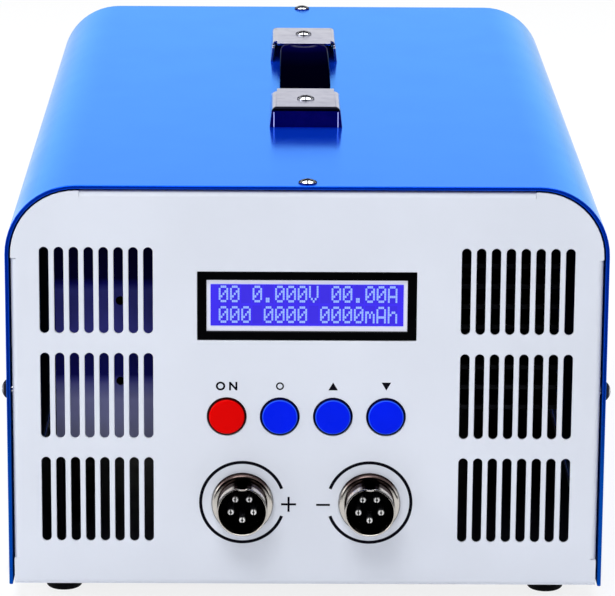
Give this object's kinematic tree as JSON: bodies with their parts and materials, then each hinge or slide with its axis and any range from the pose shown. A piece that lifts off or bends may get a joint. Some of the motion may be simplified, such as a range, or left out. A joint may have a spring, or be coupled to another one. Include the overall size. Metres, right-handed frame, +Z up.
{
  "type": "battery capacity tester",
  "caption": "Bench instrument in a white sheet-metal chassis under a blue arched cover, with a character display, round keys and cable sockets on its front and a strap handle on top.",
  "frame": {"origin": "under the middle of the instrument, on the surface that its feet stand on", "axes": "+Z up, -Y out of the front panel, +X to the right of someone who faces the front"},
  "size_m": [0.1938, 0.3364, 0.1474],
  "materials": {
    "panel_white": "white powder coat, satin",
    "cover_blue": "blue powder coat, semi-gloss",
    "screw_steel": "polished",
    "foot_rubber": "matte",
    "zinc": "zinc plated",
    "cap_chrome": "nickel plated, bright",
    "strap_black": "satin",
    "bezel_black": "black, satin",
    "screen_blue": "blue backlit film, polished",
    "backlight_white": "milky white",
    "board_green": "solder mask, glossy",
    "spacer_brass": "turned",
    "switch_black": "moulded",
    "key_red": "moulded, glossy",
    "key_blue": "moulded, glossy",
    "socket_nickel": "nickel plated, turned",
    "insert_black": "bakelite",
    "pin_silver": "silver plated",
    "lead_red": "silicone, satin",
    "lead_black": "silicone, satin",
    "ribbon_grey": "PVC, satin",
    "capacitor_sleeve": "shrink sleeve, glossy",
    "chip_black": "moulded epoxy",
    "sink_black": "black anodised",
    "bracket_black": "black powder coat, matte",
    "supply_metal": "brushed",
    "fan_black": "moulded",
    "rotor_black": "moulded",
    "guard_chrome": "bright wire",
    "screw_black": "black oxide",
    "inlet_black": "moulded",
    "rocker_black": "moulded, glossy",
    "data_nickel": "nickel plated"
  },
  "bodies": {
    "case": {"chassis": "panel_white", "cover": "cover_blue", "cover_screws": "screw_steel", "feet": "foot_rubber", "foot_screws": "zinc", "handle_front_cap": "cap_chrome", "handle_rear_cap": "cap_chrome", "handle_screws": "screw_steel", "handle_nuts": "zinc", "strap_front_flex": "strap_black", "strap_rear_flex": "strap_black", "display_bezel": "bezel_black", "display_screen": "screen_blue", "display_backlight": "backlight_white", "display_board": "board_green", "display_spacers": "spacer_brass", "control_board": "board_green", "board_studs": "zinc", "key_switches": "switch_black", "positive_shell": "socket_nickel", "positive_insert": "insert_black", "positive_pins": "pin_silver", "positive_nut": "socket_nickel", "negative_shell": "socket_nickel", "negative_insert": "insert_black", "negative_pins": "pin_silver", "negative_nut": "socket_nickel", "positive_leads": "lead_red", "negative_leads": "lead_black", "ribbon_cable": "ribbon_grey", "main_board": "board_green", "main_standoffs": "spacer_brass", "capacitors": "capacitor_sleeve", "transistors": "chip_black", "heat_sink": "sink_black", "supply_case": "supply_metal", "supply_terminals": "switch_black", "supply_bracket": "bracket_black", "left_fan_frame": "fan_black", "left_fan_guard": "guard_chrome", "right_fan_frame": "fan_black", "right_fan_guard": "guard_chrome", "fan_screws": "screw_black", "inlet_body": "inlet_black", "inlet_pins": "pin_silver", "switch_frame": "inlet_black", "data_socket": "data_nickel"},
    "strap": {"strap_grip": "strap_black"},
    "on_button": {"on_key": "key_red", "on_plunger": "switch_black"},
    "set_button": {"set_key": "key_blue", "set_plunger": "switch_black"},
    "up_button": {"up_key": "key_blue", "up_plunger": "switch_black"},
    "down_button": {"down_key": "key_blue", "down_plunger": "switch_black"},
    "left_rotor": {"left_fan_rotor": "rotor_black"},
    "right_rotor": {"right_fan_rotor": "rotor_black"},
    "rocker": {"rocker": "rocker_black"},
    "fuse_drawer": {"fuse_drawer": "inlet_black"}
  },
  "joints": [
    {"name": "on_press", "type": "slide", "parent": "case", "child": "on_button", "axis": [0, 1, 0], "range_m": [0, 0.0004], "stiffness_N_per_m": 400},
    {"name": "set_press", "type": "slide", "parent": "case", "child": "set_button", "axis": [0, 1, 0], "range_m": [0, 0.0004], "stiffness_N_per_m": 400},
    {"name": "up_press", "type": "slide", "parent": "case", "child": "up_button", "axis": [0, 1, 0], "range_m": [0, 0.0004], "stiffness_N_per_m": 400},
    {"name": "down_press", "type": "slide", "parent": "case", "child": "down_button", "axis": [0, 1, 0], "range_m": [0, 0.0004], "stiffness_N_per_m": 400},
    {"name": "left_fan_spin", "type": "hinge", "parent": "case", "child": "left_rotor", "pos_m": [-0.041, 0.15225, 0.085], "axis": [0, 1, 0], "continuous": true},
    {"name": "right_fan_spin", "type": "hinge", "parent": "case", "child": "right_rotor", "pos_m": [0.041, 0.15225, 0.085], "axis": [0, 1, 0], "continuous": true},
    {"name": "rocker_tilt", "type": "hinge", "parent": "case", "child": "rocker", "pos_m": [0.008, 0.15925, 0.0254], "axis": [1, 0, 0], "range_deg": [-18, 0]},
    {"name": "fuse_drawer_slide", "type": "slide", "parent": "case", "child": "fuse_drawer", "axis": [0, 1, 0], "range_m": [0, 0.014]},
    {"name": "strap_lift", "type": "slide", "parent": "case", "child": "strap", "axis": [0, 0, 1], "range_m": [0, 0.014], "deforming": ["strap_front_flex", "strap_rear_flex"]}
  ]
}
